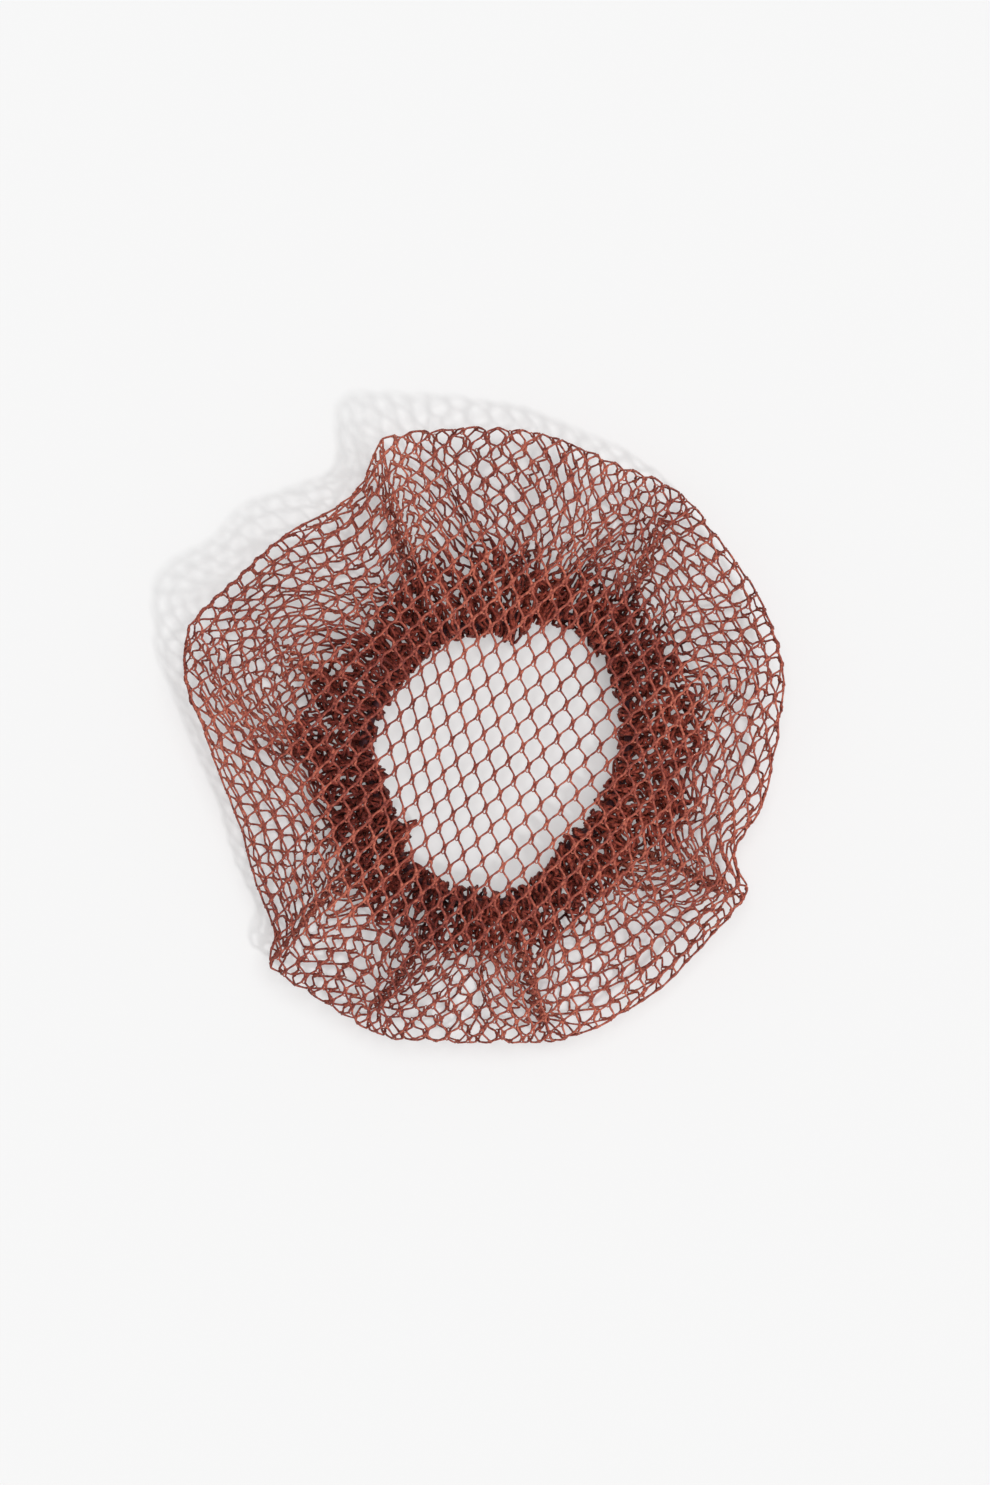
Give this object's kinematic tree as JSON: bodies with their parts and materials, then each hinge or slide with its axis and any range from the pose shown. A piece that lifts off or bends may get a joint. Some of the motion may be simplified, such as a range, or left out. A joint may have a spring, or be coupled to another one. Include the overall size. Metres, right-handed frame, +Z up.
{
  "type": "net bun cover",
  "caption": "Round net cover for a hair bun, lying crown up: pleated netting turned under at its fold and gathered on an elastic round the opening.",
  "frame": {"origin": "under the middle of the bounding box, on the surface that the cover lies on", "axes": "+Z up from the surface, from the opening to the crown; +X to the right and +Y to the top of the picture"},
  "size_m": [0.1268, 0.1304, 0.0171],
  "materials": {
    "net_thread": "matt knitted thread",
    "elastic": "covered elastic"
  },
  "bodies": {
    "root": {"crown_net": "net_thread", "side_net": "net_thread", "gathered_hem": "net_thread", "elastic_cord": "elastic"}
  },
  "joints": []
}
